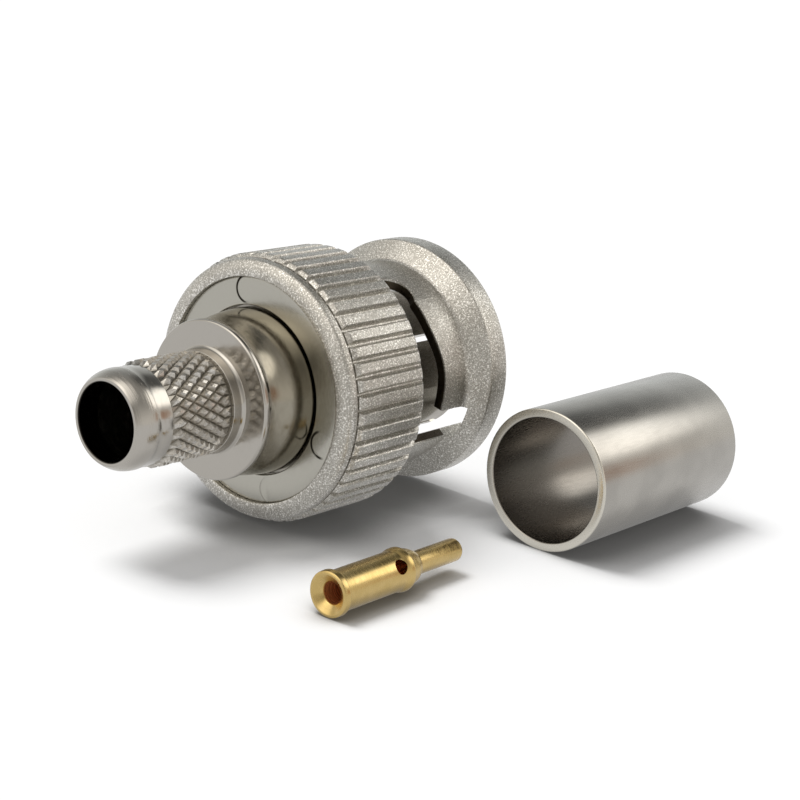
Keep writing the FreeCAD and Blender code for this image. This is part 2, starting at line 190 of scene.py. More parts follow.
print("groove cutter:", len(grooves.faces), "faces")

# %% [markdown]
# A stud of the socket goes in at the entry, round the ramp and into the lock. A row of
# cylinders could cut such a slot, but its ramp would show their steps. So the slot is
# drawn flat, as on a sheet of paper wrapped round the neck: along the axis on X, round
# the neck on Y. Its corners are rounded with a vertex bevel, the flat face is cut into
# strips, thickened, and then wrapped round the axis by moving its vertices.

# %% The cutter for one bayonet slot
LOCK_ANGLE = 30.0
ENTRY_ANGLE = 115.0
ROUND_NECK = math.radians(1) * NECK_R
LOCK_AT = LOCK_ANGLE * ROUND_NECK
ENTRY_AT = ENTRY_ANGLE * ROUND_NECK
ENTRY_HALF = 1.1
LOCK_HALF = 1.3
MOUTH_X = 0.1
RISE_FROM = 50.0 * ROUND_NECK
RISE_TO = 88.0 * ROUND_NECK
RAMP_STEPS = 8
SLOT_ROUND_STEPS = 8
SLOT_STRIP = 0.25
SLOT_INNER_R = 4.8
SLOT_OUTER_R = 6.15


def eased(low, high, share):
    """A smooth step from low to high."""
    return low + (high - low) * (1 - math.cos(math.pi * share)) / 2


def ramp_side(low, high):
    """Points of the ramp's wall, which rises smoothly from the lock to the entry."""
    shares = [i / RAMP_STEPS for i in range(RAMP_STEPS + 1)]
    return [(eased(low, high, s), RISE_FROM + (RISE_TO - RISE_FROM) * s) for s in shares]


SLOT_CORNERS = [
    (MOUTH_X, ENTRY_AT + ENTRY_HALF),
    (-6.42, ENTRY_AT + ENTRY_HALF, 1.09),
    (-6.42, ENTRY_AT - ENTRY_HALF),
    *reversed(ramp_side(-6.95, -6.42)),
    (-6.95, LOCK_AT + 1.2),
    (-6.98, LOCK_AT - LOCK_HALF, 1.29),
    (-4.38, LOCK_AT - LOCK_HALF, 1.29),
    (-4.38, LOCK_AT + 0.45, 0.35),
    (-4.65, LOCK_AT + 0.8, 0.1),
    *ramp_side(-4.65, -4.12),
    (-4.12, ENTRY_AT - ENTRY_HALF, 0.12),
    (MOUTH_X, ENTRY_AT - ENTRY_HALF),
]

slot = bmesh.new()
sheet = [slot.verts.new((c[0] * MM, c[1] * MM, SLOT_INNER_R * MM)) for c in SLOT_CORNERS]
slot.faces.new(sheet)
for vert, corner in zip(sheet, SLOT_CORNERS):
    if len(corner) == 3:
        bmesh.ops.bevel(
            slot, geom=[vert], offset=corner[2] * MM, offset_type="OFFSET", affect="VERTICES",
            segments=SLOT_ROUND_STEPS, profile=0.5, material=-1)
strip_at = LOCK_AT - LOCK_HALF
while strip_at < ENTRY_AT + ENTRY_HALF:
    strip_at += SLOT_STRIP
    bmesh.ops.bisect_plane(
        slot, geom=slot.verts[:] + slot.edges[:] + slot.faces[:], dist=TOUCHING,
        plane_co=(0, strip_at * MM, 0), plane_no=(0, 1, 0))
swept = bmesh.ops.extrude_face_region(slot, geom=slot.faces[:], use_keep_orig=True)
bmesh.ops.translate(
    slot, verts=[g for g in swept["geom"] if isinstance(g, bmesh.types.BMVert)],
    vec=(0, 0, (SLOT_OUTER_R - SLOT_INNER_R) * MM))
bmesh.ops.triangulate(slot, faces=slot.faces[:])
for vert in slot.verts:
    turn = vert.co.y / (NECK_R * MM)
    vert.co = (vert.co.x, -vert.co.z * math.sin(turn), vert.co.z * math.cos(turn))
bmesh.ops.spin(
    slot, geom=slot.verts[:] + slot.edges[:] + slot.faces[:], cent=(0, 0, 0),
    axis=(1, 0, 0), dvec=(0, 0, 0), angle=math.pi, steps=1, use_duplicate=True)
bmesh.ops.recalc_face_normals(slot, faces=slot.faces[:])
print("slot cutter:", len(slot.faces), "faces")

# %% [markdown]
# The nut is one piece of metal, so its cuts are Boolean modifiers whose result becomes
# its own mesh. Modelling the slots' edges by hand would also work, but a cut stays
# exact when a size changes. The slot's rim on the neck is then bevelled, because a
# milled and blasted edge is never sharp: it shows as a thin bright line.

# %% The finished nut
RIM_BEVEL = 0.05
FLANGE_FOOT = -2.45
SHARP_RIM = math.radians(50)


def carved(name, bm, cutters):
    """The mesh in the making with the cutters' shapes taken out of it."""
    blank = piece(name, bm)
    tools = [piece("cutter", cutter) for cutter in cutters]
    for tool in tools:
        cut = blank.modifiers.new("cut", "BOOLEAN")
        cut.operation = "DIFFERENCE"
        cut.solver = "EXACT"
        cut.object = tool
    bpy.context.view_layer.update()
    seen = blank.evaluated_get(bpy.context.evaluated_depsgraph_get())
    result = bmesh.new()
    result.from_mesh(seen.to_mesh())
    seen.to_mesh_clear()
    for used in [blank] + tools:
        bpy.data.objects.remove(used)
    return result


def from_axis(vert):
    """How far a vertex is from the plug's axis, in mm."""
    return math.hypot(vert.co.y, vert.co.z) / MM


nut_mesh = carved("blank", nut_blank, [grooves, slot])
rim = []
for edge in nut_mesh.edges:
    on_neck = all(abs(from_axis(v) - NECK_R) < 0.02 for v in edge.verts)
    between_ends = all(KNURL_FRONT + 0.2 < v.co.x / MM < FLANGE_FOOT for v in edge.verts)
    if on_neck and between_ends and edge.calc_face_angle(0) > SHARP_RIM:
        rim.append(edge)
bmesh.ops.bevel(
    nut_mesh, geom=rim, offset=RIM_BEVEL * MM, offset_type="OFFSET", affect="EDGES",
    segments=2, profile=0.5, material=-1, clamp_overlap=False)
print("rim edges:", len(rim))
nut = piece("nut", nut_mesh)
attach(nut, "nut")
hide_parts("coupling_nut")

# %% [markdown]
# A flat ring closes the back of the nut and keeps it on the plug. It could be part of
# the nut, but its seam is seen, so it is its own piece. Four shallow marks show where a
# punch has staked it. The punch was held a little askew, so each mark is a half moon.
# A small square, spun halfway round the mark's middle, makes its cutter.

# %% The closing washer
WASHER_REAR = -13.55
WASHER_FRONT = WASHER_REAR + 0.6
WASHER_HOLE_R = 4.65
MARK_ANGLES = [-9, 109, 162, 231]
MARK_R = 5.5
MARK_DEPTHS = [0.06, 0.06, 0.01, 0.03]
PUNCH_INNER_R = 0.69
PUNCH_OUTER_R = 0.74
PUNCH_START = -0.05
ARC_START = math.radians(-180)
ARC_TURN = math.radians(160)


def mark_centre(angle):
    """The middle of a staking mark on the washer's face."""
    turn = Matrix.Rotation(math.radians(angle), 3, "X")
    return turn @ Vector((WASHER_REAR * MM, 0, MARK_R * MM))


washer_blank = spun([
    (WASHER_REAR, WASHER_HOLE_R, 0.06),
    (WASHER_REAR, CAVITY_R, 0.1),
    (WASHER_FRONT, CAVITY_R),
    (WASHER_FRONT, WASHER_HOLE_R, 0.06),
])
punch = bmesh.new()
for angle, depth in zip(MARK_ANGLES, MARK_DEPTHS):
    section = [
        (PUNCH_START, PUNCH_INNER_R), (depth, PUNCH_INNER_R),
        (depth, PUNCH_OUTER_R), (PUNCH_START, PUNCH_OUTER_R),
    ]
    centre = mark_centre(angle)
    turn = Matrix.Rotation(ARC_START, 3, "X")
    corners = [centre + turn @ Vector((x * MM, 0, z * MM)) for x, z in section]
    face = punch.faces.new([punch.verts.new(corner) for corner in corners])
    bmesh.ops.spin(
        punch, geom=face.verts[:] + face.edges[:] + [face], cent=centre, axis=(1, 0, 0),
        dvec=(0, 0, 0), angle=ARC_TURN, steps=24)
bmesh.ops.recalc_face_normals(punch, faces=punch.faces[:])
print("open edges of the punch:", sum(not edge.is_manifold for edge in punch.edges))
closing = piece("back_ring", carved("ring", washer_blank, [punch]))
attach(closing, "nut")
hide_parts("closing_washer")

# %% [markdown]
# The plug's body is one long turned piece: a flange that the nut turns against, the
# polished barrel and head that show behind it, and the hollow stem for the cable. A
# smooth curve could carry the outline, but corners with a rounding each keep the sharp
# turning marks beside the soft swell of the barrel.

# %% The plug body
STEM_REAR = -24.0
KNURL_START = -21.8
KNURL_END = -17.67
KNURL_FOOT_R = 2.4
STEM_R = 2.61
STEM_BORE_R = 2.05
LIP_FRONT = -22.6
HEAD_REAR = -17.0
HEAD_R = 4.31
RIM_FRONT = -16.6
BODY_FLANGE_REAR = -10.65
BODY_FLANGE_FRONT = -9.65
BODY_FLANGE_R = 6.0
SLEEVE_REAR = -10.9
SLEEVE_R = 4.05
BUSH_REAR = -12.4

body = piece("body", spun([
    (STEM_REAR + 0.04, STEM_BORE_R, 0.03),
    (STEM_REAR, 2.12, 0.03),
    (STEM_REAR, 2.26, 0.02),
    (STEM_REAR + 0.05, 2.3, 0.02),
    (-23.74, 2.46, 0.2),
    (-23.35, STEM_R, 0.25),
    (-22.9, 2.65, 0.1),
    (LIP_FRONT, STEM_R, 0.2),
    (KNURL_START, STEM_R, 0.02),
    (KNURL_START, KNURL_FOOT_R),
    (KNURL_END, KNURL_FOOT_R),
    (KNURL_END, 2.74, 0.03),
    (-17.12, 2.78, 0.1),
    (HEAD_REAR, 2.92, 0.03),
    (HEAD_REAR, 4.24, 0.04),
    (HEAD_REAR + 0.08, HEAD_R, 0.04),
    (RIM_FRONT - 0.08, HEAD_R, 0.04),
    (RIM_FRONT, 4.23, 0.05),
    (-15.9, 4.22, 0.5),
    (-14.7, 4.46, 0.6),
    (-13.9, 4.53, 0.4),
    (-13.1, 4.53, 0.2),
    (-12.6, 4.4, 0.2),
    (BODY_FLANGE_REAR, 4.4),
    (BODY_FLANGE_REAR, BODY_FLANGE_R, 0.1),
    (BODY_FLANGE_FRONT, BODY_FLANGE_R, 0.1),
    (BODY_FLANGE_FRONT, SLEEVE_R),
    (SLEEVE_REAR, SLEEVE_R),
    (SLEEVE_REAR, 3.48),
    (BUSH_REAR, 3.48),
    (BUSH_REAR, STEM_BORE_R),
]))
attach(body, "connector")
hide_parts("plug_body")

# %% [markdown]
# A wavy ring of spring strip stands between the body's flange and the nut's thrust
# washer, and draws the nut back. A coil would also push, but needs more room. The real
# one is stamped flat and then pressed into three waves, and so is this one: a flat ring
# is spun, and its vertices move along the axis by a cosine. On the real plug it flattens
# against the flange as the nut slides forward.

# %% The wave washer
WAVES = 3
STRIP = 0.3
SPRING_REAR = -12.48
SPRING_FRONT = -10.67
SPRING_INNER_R = 4.67
SPRING_OUTER_R = 6.05

spring_mesh = spun([
    (SPRING_REAR, SPRING_INNER_R, 0.05),
    (SPRING_REAR, SPRING_OUTER_R, 0.05),
    (SPRING_REAR + STRIP, SPRING_OUTER_R, 0.05),
    (SPRING_REAR + STRIP, SPRING_INNER_R, 0.05),
])
swing = (SPRING_FRONT - SPRING_REAR - STRIP) / 2
for vert in spring_mesh.verts:
    turn = math.atan2(-vert.co.y, vert.co.z)
    vert.co.x += swing * (1 + math.cos(WAVES * turn)) * MM
spring = piece("spring", spring_mesh)
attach(spring, "connector")
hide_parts("wave_washer")
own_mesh(spring)

# %% [markdown]
# The diamond knurl on the stem bites into the cable's braid. Two crossing spirals cut
# it, which leaves rows of little pyramids. Cutting them with Booleans would be slow and
# heavy. So a ring is spun with its vertices on a checkerboard: every second one stays a
# peak, the others sink to where two grooves cross, and each square is split along its
# valley. A vertex bevel flattens the peaks, and the facets stay flat, so they glitter.

# %% The diamond knurl
DIAMOND_ROWS = 8
DIAMONDS_ROUND = 28
PEAK_R = 2.94
VALLEY_R = 2.56
TOP_SHARE = 38

step = (KNURL_END - KNURL_START) / DIAMOND_ROWS
rows = [(KNURL_START + i * step, PEAK_R) for i in range(DIAMOND_ROWS + 1)]
foot = [(KNURL_END, KNURL_FOOT_R), (KNURL_START, KNURL_FOOT_R)]
knurl = spun(rows + foot, 2 * DIAMONDS_ROUND)
bmesh.ops.rotate(
    knurl, verts=knurl.verts[:], cent=(0, 0, 0),
    matrix=Matrix.Rotation(math.pi / DIAMONDS_ROUND / 2, 3, "X"))
peaks = []
crossings = set()
for vert in knurl.verts:
    if from_axis(vert) > KNURL_FOOT_R + 0.3:
        row = round((vert.co.x / MM - KNURL_START) / step)
        turn = math.atan2(-vert.co.y, vert.co.z) / (math.pi / DIAMONDS_ROUND)
        if (row + math.floor(turn)) % 2 or row in (0, DIAMOND_ROWS):
            crossings.add(vert)
        else:
            peaks.append(vert)
for face in knurl.faces[:]:
    low = [v for v in face.verts if v in crossings]
    joined = any(all(v in low for v in edge.verts) for edge in face.edges)
    if len(low) == 2 and len(face.verts) == 4 and not joined:
        bmesh.ops.connect_vert_pair(knurl, verts=low)
for vert in crossings:
    vert.co.y *= VALLEY_R / PEAK_R
    vert.co.z *= VALLEY_R / PEAK_R
bmesh.ops.bevel(
    knurl, geom=peaks, offset=TOP_SHARE, offset_type="PERCENT", affect="VERTICES",
    segments=1, profile=0.5, material=-1)
bmesh.ops.recalc_face_normals(knurl, faces=knurl.faces[:])
grip = piece("stem_knurl", knurl)
for facet in grip.data.polygons:
    facet.use_smooth = False
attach(grip, "connector")
print("diamonds:", len(peaks))

# %% [markdown]
# Inside the nut stands the outer contact, a thin sleeve with a bead at its mouth and
# four slits, so that its fingers spring against the socket. Four bent plates could
# stand for the fingers, but the real sleeve is sawn, so bars are taken out of a spun
# sleeve by a Boolean.

# %% The outer contact
SLEEVE_BORE_R = 3.5
SLEEVE_FRONT = -0.05
BEAD_R = 4.17
SLIT_ANGLE = 56
SLIT_SIZE = (6.6, 0.4, 1.6)
SLIT_MIDDLE = (-3.25, 0, 3.8)

sleeve_blank = spun([
    (SLEEVE_REAR, SLEEVE_BORE_R),
    (SLEEVE_REAR, SLEEVE_R),
    (-0.65, SLEEVE_R),
    (-0.35, BEAD_R, 0.2),
    (SLEEVE_FRONT, 4.0, 0.05),
    (SLEEVE_FRONT, 3.6, 0.05),
    (SLEEVE_FRONT - 0.1, SLEEVE_BORE_R, 0.05),
])
slits = bmesh.new()
for quarter in range(4):
    place = (
        Matrix.Rotation(math.radians(SLIT_ANGLE + 90 * quarter), 4, "X")
        @ Matrix.Translation(in_metres(SLIT_MIDDLE))
        @ Matrix.Diagonal((*in_metres(SLIT_SIZE), 1)))
    bmesh.ops.create_cube(slits, size=1, matrix=place)
sleeve = piece("finger_sleeve", carved("sleeve", sleeve_blank, [slits]))
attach(sleeve, "connector")
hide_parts("outer_contact")

# %% [markdown]
# The white bush is turned from plastic, and the gasket is a flat soft ring. They sit
# deep in the plug and show only from the front. Plain tubes would nearly do there, but
# the bush's socket and pin hole are what the front of such a plug is known by.

# %% The insulator and the gasket
BUSH_R = 3.45
BUSH_FRONT = -3.5
BUSH_SOCKET_R = 2.42
BUSH_SOCKET_END = -5.6
PIN_HOLE_R = 0.72
CONTACT_SEAT_R = 1.25
CONTACT_STOP = -6.4
GASKET_BORE_R = 4.1
GASKET_R = 5.1
GASKET_FRONT = -8.75

bush = piece("bush", spun([
    (BUSH_REAR, CONTACT_SEAT_R, 0.05),
    (BUSH_REAR, BUSH_R, 0.1),
    (BUSH_FRONT, BUSH_R, 0.15),
    (BUSH_FRONT, BUSH_SOCKET_R, 0.15),
    (BUSH_SOCKET_END, BUSH_SOCKET_R, 0.05),
    (BUSH_SOCKET_END, PIN_HOLE_R, 0.05),
    (CONTACT_STOP, PIN_HOLE_R),
    (CONTACT_STOP, CONTACT_SEAT_R),
]))
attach(bush, "connector")
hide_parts("insulator")
seal = piece("seal", spun([
    (BODY_FLANGE_FRONT, GASKET_BORE_R),
    (BODY_FLANGE_FRONT, GASKET_R, 0.05),
    (GASKET_FRONT, GASKET_R, 0.15),
    (GASKET_FRONT, GASKET_BORE_R, 0.15),
]))
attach(seal, "connector")
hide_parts("gasket")

# %% [markdown]
# The centre contact and the ferrule lie loose on the table. They could be made where
# they lie, but a spin is easiest about the axis, so they are spun there like the rest
# and then laid down: turned a little on the table and moved to their places. The move
# is made in the mesh, so the objects stay at the origin.

# %% The centre contact
FLOOR_Z = -CREST_R
COLLAR_R = 1.2
CONTACT_HEADING = 0.64
CONTACT_PLACE = (-20.52, -12.37, FLOOR_Z + COLLAR_R)
CONTACT_BORE_R = 0.55
PIN_R = 0.62
WIRE_BARREL_R = 1.06
CONTACT_LENGTH = 10.0
CONTACT_STEPS = 96
SIGHT_HOLE_R = 0.4
SIGHT_HOLE_X = 4.5
SIGHT_HOLE_ANGLE = math.radians(55)
DRILL_LENGTH = 1.3


def lay(bm, heading, x, y, z):
    """Turns a mesh about the upright and moves it, in degrees and mm."""
    bmesh.ops.rotate(
        bm, verts=bm.verts[:], cent=(0, 0, 0),
        matrix=Matrix.Rotation(math.radians(heading), 3, "Z"))
    bmesh.ops.translate(bm, verts=bm.verts[:], vec=(x * MM, y * MM, z * MM))
    return bm


contact_blank = spun([
    (0.32, 0.58, 0.05),
    (0, 1.02, 0.03),
    (0, 1.08, 0.02),
    (0.05, 1.18, 0.03),
    (0.4, COLLAR_R, 0.04),
    (0.46, WIRE_BARREL_R, 0.03),
    (4.8, WIRE_BARREL_R, 0.1),
    (5.1, 1.16, 0.15),
    (5.38, 1.16, 0.04),
    (5.44, WIRE_BARREL_R, 0.03),
    (6.1, 0.93, 0.3),
    (6.42, 0.74, 0.08),
    (6.5, PIN_R, 0.03),
    (CONTACT_LENGTH, PIN_R, 0.25),
    (CONTACT_LENGTH, 0),
    (5.25, 0),
    (5.0, CONTACT_BORE_R),
    (0.4, CONTACT_BORE_R, 0.03),
], CONTACT_STEPS)
drill = bmesh.new()
bmesh.ops.create_cone(
    drill, cap_ends=True, segments=40, radius1=SIGHT_HOLE_R * MM, radius2=SIGHT_HOLE_R * MM,
    depth=DRILL_LENGTH * MM,
    matrix=Matrix.Rotation(SIGHT_HOLE_ANGLE, 4, "X")
    @ Matrix.Translation((SIGHT_HOLE_X * MM, 0, DRILL_LENGTH / 2 * MM)))
contact_mesh = carved("contact_blank", contact_blank, [drill])
contact = piece("contact", lay(contact_mesh, CONTACT_HEADING, *CONTACT_PLACE))
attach(contact, "connector")
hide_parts("centre_contact")

# %% [markdown]
# The ferrule is a piece of drawn tube that is crimped over the braid. A cylinder with a
# Solidify modifier would give its wall, but a spun outline also rounds both its rims,
# and those rims catch the light.

# %% The crimp ferrule
FERRULE_R = 3.95
FERRULE_BORE_R = 3.45
FERRULE_LENGTH = 13.4
FERRULE_HEADING = -0.53
FERRULE_PLACE = (-4.33, -13.19, FLOOR_Z + FERRULE_R)

ferrule_mesh = spun([
    (0, FERRULE_BORE_R, 0.08),
    (0, FERRULE_R, 0.1),
    (FERRULE_LENGTH, FERRULE_R, 0.12),
    (FERRULE_LENGTH, FERRULE_BORE_R, 0.08),
])
ferrule = piece("ferrule", lay(ferrule_mesh, FERRULE_HEADING, *FERRULE_PLACE))
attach(ferrule, "connector")
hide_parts("crimp_ferrule")

# %% [markdown]
# A material is a small program that says how light leaves a surface. Its nodes could be
# joined one by one, but then a pattern takes a page instead of a line. So Wire wraps one
# socket, and the plus, minus and times signs on it add Math nodes: the patterns below
# read as sums.

# %% Shader maths
class Wire:
    """One socket of a shader, with arithmetic that adds Math nodes."""

    def __init__(self, recipe, socket):
        self.recipe = recipe
        self.socket = socket

    def maths(self, operation, *values):
        return self.recipe.node("ShaderNodeMath", {"operation": operation}, dict(enumerate(values)))

    def __add__(self, other):
        return self.maths("ADD", self, other)

    __radd__ = __add__

    def __sub__(self, other):
        return self.maths("SUBTRACT", self, other)

    def __rsub__(self, other):
        return self.maths("SUBTRACT", other, self)

    def __mul__(self, other):
        return self.maths("MULTIPLY", self, other)

    __rmul__ = __mul__

    def rise(self, low, high, start=0.0, end=1.0):
        """Goes smoothly from start to end as this value goes from low to high."""
        return self.recipe.node(
            "ShaderNodeMapRange", {"interpolation_type": "SMOOTHSTEP"},
            {"Value": self, "From Min": low, "From Max": high, "To Min": start, "To Max": end},
            "Result")


# %% [markdown]
# Recipe holds the nodes of one material or of the world. Each node could be made by
# hand, in four or five lines. Here one method makes any of them, from its type, its
# settings and what goes into its sockets, and the other methods are short names for the
# nodes that the patterns need most.

# %% The nodes of a material
class Recipe:
    """The nodes of one material or world."""

    def __init__(self, tree):
        self.tree = tree
        tree.nodes.clear()

    def node(self, kind, settings, inputs, output=0):
        """Any node: its type, its settings, its sockets' values or wires, and the wire out."""
        made = self.tree.nodes.new(kind)
        for key, value in settings.items():
            setattr(made, key, value)
        for key, value in inputs.items():
            if isinstance(value, Wire):
                self.tree.links.new(value.socket, made.inputs[key])
            else:
                made.inputs[key].default_value = value
        return Wire(self, made.outputs[output]) if made.outputs else None

    def place(self):
        """Where a point is on the piece, in metres."""
        return self.node("ShaderNodeTexCoord", {}, {}, "Object")

    def noise(self, vector, cells_per_mm, detail=2.0, rough=0.5):
        """Soft random patches, so many to the millimetre."""
        return self.node(
            "ShaderNodeTexNoise", {},
            {"Vector": vector, "Scale": cells_per_mm / MM, "Detail": detail, "Roughness": rough})

    def vectors(self, operation, *values, output="Vector"):
        """One Vector Math node."""
        return self.node(
            "ShaderNodeVectorMath", {"operation": operation}, dict(enumerate(values)), output)

    def stretched(self, vector, x, y, z):
        """The place with each axis multiplied, which draws a pattern out."""
        return self.vectors("MULTIPLY", vector, (x, y, z))

    def mix(self, share, first, second):
        """A colour between two colours, which are a Mix node's sockets 6 and 7."""
        return self.node("ShaderNodeMix", {"data_type": "RGBA"}, {0: share, 6: first, 7: second}, 2)

    def mix_numbers(self, share, first, second):
        """A number between two numbers, which are a Mix node's sockets 2 and 3."""
        return self.node("ShaderNodeMix", {"data_type": "FLOAT"}, {0: share, 2: first, 3: second})

    def bump(self, height, strength, depth_mm):
        """A surface that is raised where the height is large."""
        return self.node(
            "ShaderNodeBump", {},
            {"Height": height, "Strength": strength, "Distance": depth_mm * MM})

    def rays(self, kind):
        """1 for the rays of one kind, such as those from the camera, and 0 for others."""
        return self.node("ShaderNodeLightPath", {}, {}, f"Is {kind} Ray")


# %% [markdown]
# Turned metal wears and darkens along its axis or round it, so most patterns below start
# from two lengths: how far along the plug a point is, and how far from a piece's axis.
# Colours painted on the faces could do it too, but they would follow the mesh's steps.

# %% A new material, its shader and the lengths that patterns start from
def material(name):
    """A new material and its recipe."""
    made = bpy.data.materials.new(name)
    made.use_nodes = True
    return made, Recipe(made.node_tree)


def painted(obj, made):
    """Gives a piece or a CAD node one material."""
    obj.data.materials.clear()
    obj.data.materials.append(made)
    return obj


def surface(recipe, inputs):
    """The shader that everything feeds, and the material's output."""
    shader = recipe.node("ShaderNodeBsdfPrincipled", {}, inputs)
    recipe.node("ShaderNodeOutputMaterial", {}, {"Surface": shader})


def grey(level):
    """A neutral colour."""
    return (level, level, level, 1)


def from_line(recipe, at, point=(0, 0, 0), along=(1, 0, 0)):
    """How far a place is from the line through a point, in metres."""
    offset = recipe.vectors("SUBTRACT", at, point)
    across = recipe.vectors("CROSS_PRODUCT", offset, along)
    return recipe.vectors("LENGTH", across, output="Value")


def along_axis(recipe, at):
    """Where a place is along the plug, in metres."""
    return recipe.node("ShaderNodeSeparateXYZ", {}, {0: at})


def between(value, low, high, soft):
    """1 where a length in mm is between two others, with soft ends."""
    inner = value.rise((low - soft) * MM, low * MM)
    return inner * value.rise(high * MM, (high + soft) * MM, 1, 0)


# %% [markdown]
# The nut is nickel plated over a bead-blasted surface. Blasting leaves tiny pits, about
# a tenth of a millimetre wide, which break the reflections into a fine sparkle. A high
# roughness alone would only blur them. So a noise of that size drives the bump and
# paints the bump's hollows darker, a painted shade in the pits. A second noise paints
# bright specks into the colour, painted glints, and a coarser one lets the plating vary.
# The slots' walls are painted nearly black, a painted shade inside the slots.

# %% Blasted nickel
PLATING = (0.5, 0.48, 0.438, 1)
THIN_PLATING = (0.43, 0.41, 0.37, 1)
PIT_SHADE = (0.27, 0.25, 0.212, 1)
PAINTED_GLINT = (0.93, 0.91, 0.86, 1)
SLOT_WALL_SHADE = (0.075, 0.06, 0.042, 1)

blasted, r = material("blasted_nickel")
at = r.place()
pits = r.noise(at, 11.0, 3.0, 0.7)
painted_glints = r.noise(r.vectors("ADD", at, (1, 1, 1)), 12.0, 2.0, 0.6)
patches = r.noise(at, 0.7, 2.0)
tint = r.mix(patches.rise(0.35, 0.65), THIN_PLATING, PLATING)
# painted shade: where the pits' noise is low, in the bump's hollows, the colour is darker
tint = r.mix(pits.rise(0.3, 0.5), PIT_SHADE, tint)
# painted glints: bright specks painted into the colour
tint = r.mix(painted_glints.rise(0.5, 0.66), tint, PAINTED_GLINT)
# painted shade: the slots' walls, between the bore and the neck, are painted nearly black
wall = between(from_line(r, at), MOUTH_BORE_R + 0.05, NECK_R - 0.13, 0.05)
wall = wall * between(along_axis(r, at), -7.1, -2.4, 0.05)
surface(r, {
    "Base Color": r.mix(wall, tint, SLOT_WALL_SHADE),
    "Metallic": 1.0,
    "Roughness": pits.rise(0.3, 0.7, 0.42, 0.26),
    "Normal": r.bump(pits, 1.0, 0.024),
})
painted(nut, blasted)
print(blasted.name, len(blasted.node_tree.nodes), "nodes")

# %% [markdown]
# The ferrule is drawn through a die, which leaves faint streaks along it and a smooth
# satin skin. An anisotropic shader could draw them out, but a noise stretched along the
# tube exports better. Its inside is painted darker, a painted shade, and its near rim is
# painted lighter, a painted highlight.

# %% Satin nickel for the ferrule
DRAWN_NICKEL = (0.45, 0.43, 0.396, 1)
CLOUDED_NICKEL = (0.4, 0.382, 0.352, 1)
RIM_HIGHLIGHT = (0.66, 0.63, 0.56, 1)
BORE_SHADE = (0.26, 0.24, 0.215, 1)

satin, r = material("satin_nickel")
at = r.place()
grain = r.noise(r.stretched(at, 0.15, 1, 1), 7.0, 3.0, 0.6)
cloud = r.noise(at, 0.4, 2.0)
drawn = r.mix(cloud.rise(0.35, 0.65), CLOUDED_NICKEL, DRAWN_NICKEL)
# painted shade: the inside of the tube is painted darker
bore = from_line(r, at, in_metres(FERRULE_PLACE))
bore = bore.rise((FERRULE_BORE_R + 0.02) * MM, (FERRULE_BORE_R + 0.08) * MM, 1, 0)
# painted highlight: the near rim is painted lighter
end_x = FERRULE_PLACE[0]
near_rim = along_axis(r, at).rise((end_x + 0.05) * MM, (end_x + 0.13) * MM, 1, 0)
drawn = r.mix(near_rim, drawn, RIM_HIGHLIGHT)
surface(r, {
    "Base Color": r.mix(bore, drawn, BORE_SHADE),
    "Metallic": 1.0,
    "Roughness": grain.rise(0.3, 0.7, 0.28, 0.24),
    "Normal": r.bump(grain, 0.1, 0.004),
})
painted(ferrule, satin)
print(satin.name, len(satin.node_tree.nodes), "nodes")

# %% [markdown]
# The closing washer is flat and smooth. The crescents of its staking marks would show
# too weakly at this size from the mesh alone, so each mark's distance from its middle
# also darkens the colour on one side, a painted shade in the crescents.

# %% Smooth nickel with painted shade in the staking marks for the closing washer
SMOOTH_NICKEL = (0.46, 0.445, 0.395, 1)
CRESCENT_SHADE = (0.03, 0.025, 0.015, 1)
MARK_SHADES = [0.95, 0.95, 0.12, 0.4]
SHADED_SIDE = (0, 1, -0.25)

staked, r = material("staked_nickel")
at = r.place()
arcs = 0.0
# painted shade: one side of each mark's crescent is painted dark, broken up by a noise
for angle, shade in zip(MARK_ANGLES, MARK_SHADES):
    offset = r.vectors("SUBTRACT", at, tuple(mark_centre(angle)))
    reach = r.vectors("LENGTH", offset, output="Value")
    groove = between(reach, PUNCH_INNER_R - 0.01, PUNCH_OUTER_R + 0.02, 0.06)
    side = r.vectors("DOT_PRODUCT", offset, SHADED_SIDE, output="Value")
    arcs = groove * side.rise(-0.1 * MM, 0.3 * MM, 0, shade) + arcs
patchy_shade = r.noise(at, 1.3, 2.0).rise(0.35, 0.5, 0.35, 1)
scuffs = r.noise(r.stretched(at, 1, 1, 0.5), 6.0, 3.0, 0.6)
surface(r, {
    "Base Color": r.mix(arcs * patchy_shade, SMOOTH_NICKEL, CRESCENT_SHADE),
    "Metallic": 1.0,
    "Roughness": scuffs.rise(0.35, 0.75, 0.2, 0.27),
    "Normal": r.bump(scuffs, 0.15, 0.006),
})
painted(closing, staked)
print(staked.name, len(staked.node_tree.nodes), "nodes")

# %% [markdown]
# The body is turned and plated bright. The barrel under the nut, in front of the head's
# rim, is painted darker and browner, a painted shade. The lip has fine turning lines, the
# groove behind the head's rim is scratched and dark in places, and the stem's bore behind
# the lip is painted nearly black, a painted shade. These could be separate pieces with
# plain materials, but it is one part, so one material changes along and across the axis.

# %% Bright nickel for the body and the finger sleeve
NICKEL = (0.46, 0.436, 0.396, 1)
BARREL_SHADE = (0.32, 0.294, 0.237, 1)
DARK_SCRATCH = (0.05, 0.045, 0.035, 1)
STEM_BORE_SHADE = (0.02, 0.018, 0.015, 1)

bright, r = material("bright_nickel")
at = r.place()
along = along_axis(r, at)
radius = from_line(r, at)
scuffs = r.noise(r.stretched(at, 1, 0.4, 0.4), 5.0, 3.0, 0.6)
lip = along.rise((LIP_FRONT - 0.2) * MM, LIP_FRONT * MM, 1, 0)
turned = r.noise(r.stretched(at, 1, 0.02, 0.02), 14.0, 2.0, 0.6)
